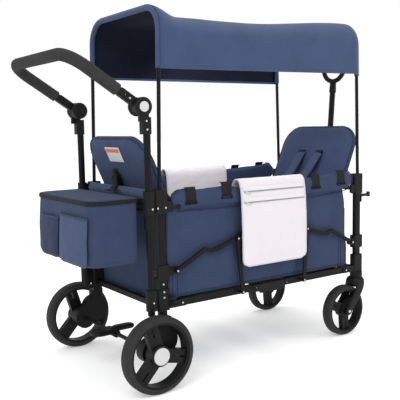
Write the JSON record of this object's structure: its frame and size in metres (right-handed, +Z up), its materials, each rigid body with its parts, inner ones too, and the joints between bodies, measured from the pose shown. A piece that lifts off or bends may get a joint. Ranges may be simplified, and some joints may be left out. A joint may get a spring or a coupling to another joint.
{
  "type": "folding stroller wagon",
  "caption": "Folding two-seat wagon with cloth body, arched canopy, rear push handle and basket, brake pedal, swivelling front casters and a telescoping pull handle.",
  "frame": {"origin": "on the ground, under the centre of the bounding box", "axes": "+X to the front, where the pull handle is, +Y to the wagon's left, +Z up"},
  "size_m": [1.3876, 0.653, 1.25],
  "materials": {
    "frame_black": "satin black powder coat",
    "plastic_black": "fine-grained black moulding",
    "grip_foam": "matt closed-cell foam",
    "tyre_black": "satin rubber with a shallow tread",
    "trim_silver": "light grey satin",
    "cloth_navy": "woven navy polyester",
    "cloth_white": "white woven cloth with piping and zips",
    "floor_board": "dark woven lining on a stiff board"
  },
  "bodies": {
    "rear_frame": {"rear_post_right": "frame_black", "rear_post_left": "frame_black", "rear_brackets_right": "plastic_black", "rear_brackets_left": "plastic_black", "rear_crossbars": "frame_black", "handle_tubes": "frame_black", "handle_sockets": "plastic_black", "wheel_housing_right": "plastic_black", "wheel_housing_left": "plastic_black", "rear_hoop": "frame_black", "canopy": "cloth_navy", "tub": "cloth_navy", "rim_roll": "cloth_navy", "rear_bench": "cloth_navy", "side_pads": "cloth_white", "basket": "cloth_navy"},
    "push_handle": {"handle_arm_right": "plastic_black", "handle_arm_left": "plastic_black", "handle_grip": "grip_foam"},
    "button_right": {"handle_button_right": "trim_silver"},
    "button_left": {"handle_button_left": "trim_silver"},
    "rear_wheel_right": {"rear_tyre_right": "tyre_black", "rear_rim_right": "plastic_black", "rear_hub_cap_right": "trim_silver"},
    "rear_wheel_left": {"rear_tyre_left": "tyre_black", "rear_rim_left": "plastic_black", "rear_hub_cap_left": "trim_silver"},
    "brake": {"brake_bar": "frame_black", "brake_pedal": "plastic_black"},
    "rear_seat_back": {"rear_seat_back": "cloth_navy"},
    "basket_lid": {"basket_lid": "cloth_navy"},
    "rear_rail": {"rear_rails": "frame_black", "rear_floor": "floor_board"},
    "centre": {"centre_brackets": "plastic_black", "centre_floor": "floor_board"},
    "front_rail": {"front_rails": "frame_black", "front_floor": "floor_board"},
    "front_frame": {"front_post_right": "frame_black", "front_post_left": "frame_black", "front_brackets": "plastic_black", "front_crossbars": "frame_black", "front_hoop": "frame_black", "front_bench": "cloth_navy", "accessory_hook": "plastic_black"},
    "rear_wave": {"rear_wave_bars": "frame_black"},
    "front_wave": {"front_wave_bars": "frame_black"},
    "rear_link": {"rear_links": "frame_black"},
    "front_link": {"front_links": "frame_black"},
    "caster_right": {"fork_right": "plastic_black"},
    "caster_left": {"fork_left": "plastic_black"},
    "front_wheel_right": {"front_tyre_right": "tyre_black", "front_rim_right": "plastic_black"},
    "front_wheel_left": {"front_tyre_left": "tyre_black", "front_rim_left": "plastic_black"},
    "front_seat_back": {"front_seat_back": "cloth_navy"},
    "pull_tube": {"pull_tube": "plastic_black"},
    "pull_rod": {"pull_rod": "frame_black", "pull_grip": "plastic_black"}
  },
  "joints": [
    {"name": "fold", "type": "hinge", "parent": "rear_frame", "child": "rear_rail", "pos_m": [-0.29877, 0, 0.266], "axis": [0, -1, 0], "range_deg": [0, 76], "deforming": ["tub", "canopy", "side_pads", "rear_bench", "front_bench", "rim_roll"]},
    {"name": "centre_pivot", "type": "hinge", "parent": "rear_rail", "child": "centre", "pos_m": [0.02123, 0, 0.266], "axis": [0, -1, 0], "range_deg": [-76, 0]},
    {"name": "front_rail_pivot", "type": "hinge", "parent": "centre", "child": "front_rail", "pos_m": [0.16923, 0, 0.266], "axis": [0, -1, 0], "range_deg": [-76, 0]},
    {"name": "front_frame_pivot", "type": "hinge", "parent": "front_rail", "child": "front_frame", "pos_m": [0.48923, 0, 0.266], "axis": [0, -1, 0], "range_deg": [0, 76]},
    {"name": "rear_wave_pivot", "type": "hinge", "parent": "rear_frame", "child": "rear_wave", "pos_m": [-0.32277, 0, 0.379], "axis": [0, -1, 0], "range_deg": [0, 82.08]},
    {"name": "front_wave_pivot", "type": "hinge", "parent": "front_frame", "child": "front_wave", "pos_m": [0.51323, 0, 0.379], "axis": [0, -1, 0], "range_deg": [-82.08, 0]},
    {"name": "rear_link_pivot", "type": "hinge", "parent": "rear_rail", "child": "rear_link", "pos_m": [-0.05277, 0, 0.266], "axis": [0, -1, 0], "range_deg": [-38, 0]},
    {"name": "front_link_pivot", "type": "hinge", "parent": "front_rail", "child": "front_link", "pos_m": [0.24323, 0, 0.266], "axis": [0, -1, 0], "range_deg": [0, 38]},
    {"name": "handle_tilt", "type": "hinge", "parent": "rear_frame", "child": "push_handle", "pos_m": [-0.43177, 0, 0.917], "axis": [0, 1, 0], "range_deg": [-75, 30]},
    {"name": "brake", "type": "hinge", "parent": "rear_frame", "child": "brake", "pos_m": [-0.42977, 0, 0.127], "axis": [0, 1, 0], "range_deg": [-12, 12]},
    {"name": "rear_recline", "type": "hinge", "parent": "rear_frame", "child": "rear_seat_back", "pos_m": [-0.27277, 0, 0.5], "axis": [0, 1, 0], "range_deg": [0, 12]},
    {"name": "front_recline", "type": "hinge", "parent": "front_frame", "child": "front_seat_back", "pos_m": [0.46323, 0, 0.5], "axis": [0, -1, 0], "range_deg": [0, 12]},
    {"name": "lid_hinge", "type": "hinge", "parent": "rear_frame", "child": "basket_lid", "pos_m": [-0.44477, 0, 0.626], "axis": [0, 1, 0], "range_deg": [0, 80]},
    {"name": "pull_pivot", "type": "hinge", "parent": "front_frame", "child": "pull_tube", "pos_m": [0.61023, 0, 0.26], "axis": [0, 1, 0], "range_deg": [0, 75]},
    {"name": "pull_slide", "type": "slide", "parent": "pull_tube", "child": "pull_rod", "axis": [0.0819, 0, 0.9966], "range_m": [-0.27, 0]},
    {"name": "button_right_press", "type": "slide", "parent": "rear_frame", "child": "button_right", "axis": [0, 1, 0], "range_m": [0, 0.002], "stiffness_N_per_m": 900},
    {"name": "rear_wheel_right_spin", "type": "hinge", "parent": "rear_frame", "child": "rear_wheel_right", "pos_m": [-0.42977, -0.301, 0.127], "axis": [0, 1, 0], "continuous": true},
    {"name": "caster_right_swivel", "type": "hinge", "parent": "front_frame", "child": "caster_right", "pos_m": [0.56123, -0.236, 0.23], "axis": [0, 0, 1], "continuous": true},
    {"name": "front_wheel_right_spin", "type": "hinge", "parent": "caster_right", "child": "front_wheel_right", "pos_m": [0.48823, -0.236, 0.101], "axis": [0, 1, 0], "continuous": true},
    {"name": "button_left_press", "type": "slide", "parent": "rear_frame", "child": "button_left", "axis": [0, -1, 0], "range_m": [0, 0.002], "stiffness_N_per_m": 900},
    {"name": "rear_wheel_left_spin", "type": "hinge", "parent": "rear_frame", "child": "rear_wheel_left", "pos_m": [-0.42977, 0.301, 0.127], "axis": [0, 1, 0], "continuous": true},
    {"name": "caster_left_swivel", "type": "hinge", "parent": "front_frame", "child": "caster_left", "pos_m": [0.56123, 0.236, 0.23], "axis": [0, 0, 1], "continuous": true},
    {"name": "front_wheel_left_spin", "type": "hinge", "parent": "caster_left", "child": "front_wheel_left", "pos_m": [0.48823, 0.236, 0.101], "axis": [0, 1, 0], "continuous": true}
  ],
  "couplings": [
    {"joint": "centre_pivot", "follows": "fold", "ratio": -1},
    {"joint": "front_rail_pivot", "follows": "fold", "ratio": -1},
    {"joint": "front_frame_pivot", "follows": "fold", "ratio": 1},
    {"joint": "rear_wave_pivot", "follows": "fold", "ratio": 1.08},
    {"joint": "front_wave_pivot", "follows": "fold", "ratio": -1.08},
    {"joint": "rear_link_pivot", "follows": "fold", "ratio": -0.5},
    {"joint": "front_link_pivot", "follows": "fold", "ratio": 0.5}
  ]
}
